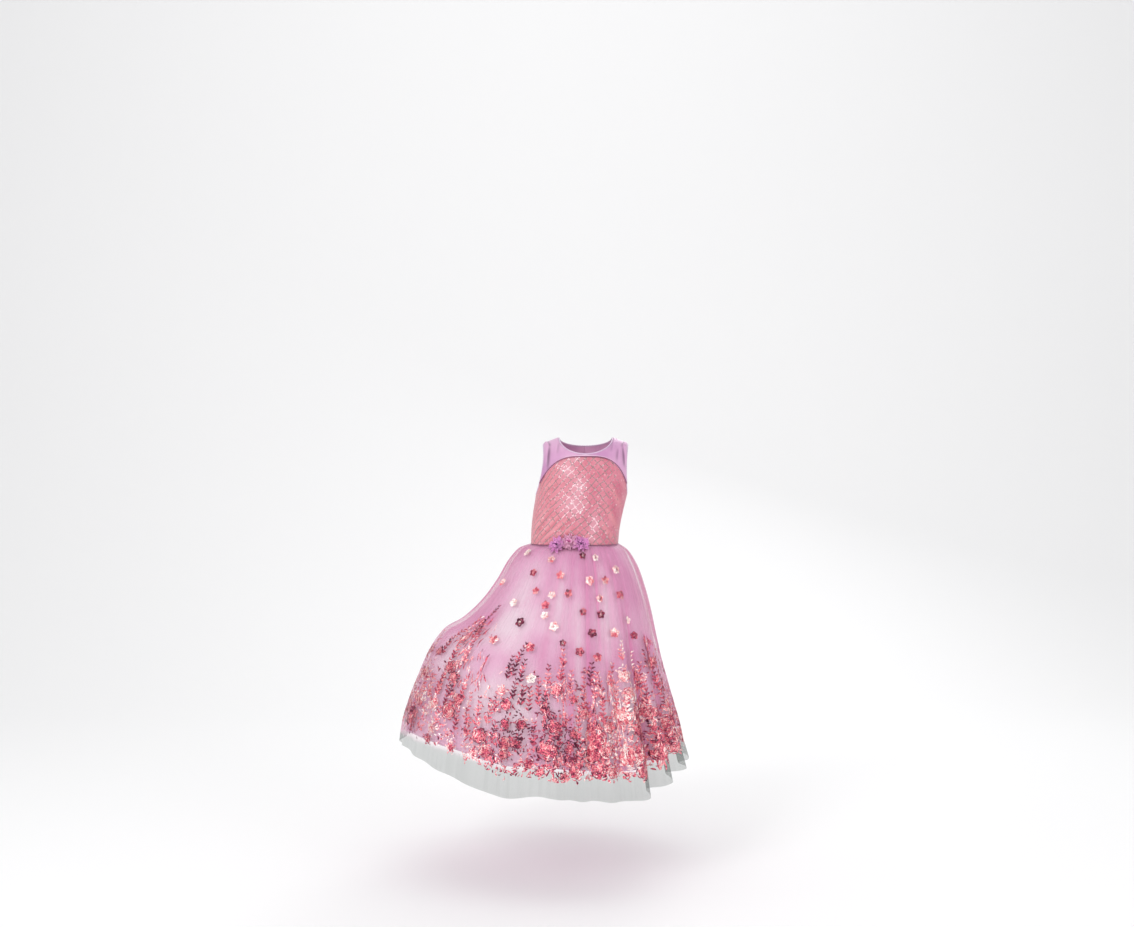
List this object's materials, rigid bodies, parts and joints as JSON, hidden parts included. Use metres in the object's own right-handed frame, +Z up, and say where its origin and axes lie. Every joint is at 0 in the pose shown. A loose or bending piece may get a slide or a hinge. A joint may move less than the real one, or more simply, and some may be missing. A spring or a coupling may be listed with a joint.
{
  "type": "princess costume dress",
  "caption": "Sleeveless princess costume dress with a curved yoke, foil patterned bodice, waist flowers and a gathered tulle skirt over a satin lining, in worn pose.",
  "frame": {"origin": "midway between the two shoulder seams, at the height of the straps", "axes": "+Z up, -Y out of the front of the dress, +X towards the viewer's right when the front is seen"},
  "size_m": [0.6596, 0.5844, 0.7723],
  "materials": {
    "rose_foil_knit": "rose knit printed with a silvery lattice",
    "lilac_satin": "satin",
    "pale_edging": "satin",
    "mauve_piping": "satin",
    "lilac_tulle": "fine net with a foil flower print",
    "lilac_lining": "satin",
    "orchid_organza": "organza",
    "pink_organza": "organza"
  },
  "bodies": {
    "root": {"bodice_front": "rose_foil_knit", "yoke_front": "lilac_satin", "bodice_back_left": "lilac_satin", "bodice_back_right": "lilac_satin", "back_placket": "lilac_satin", "neck_binding": "pale_edging", "armhole_binding_left": "pale_edging", "armhole_binding_right": "pale_edging", "arch_piping": "mauve_piping", "overskirt_front": "lilac_tulle", "overskirt_back": "lilac_tulle", "lining_front": "lilac_lining", "lining_back": "lilac_lining", "flower_left": "orchid_organza", "flower_middle": "pink_organza", "flower_right": "orchid_organza"}
  },
  "joints": []
}
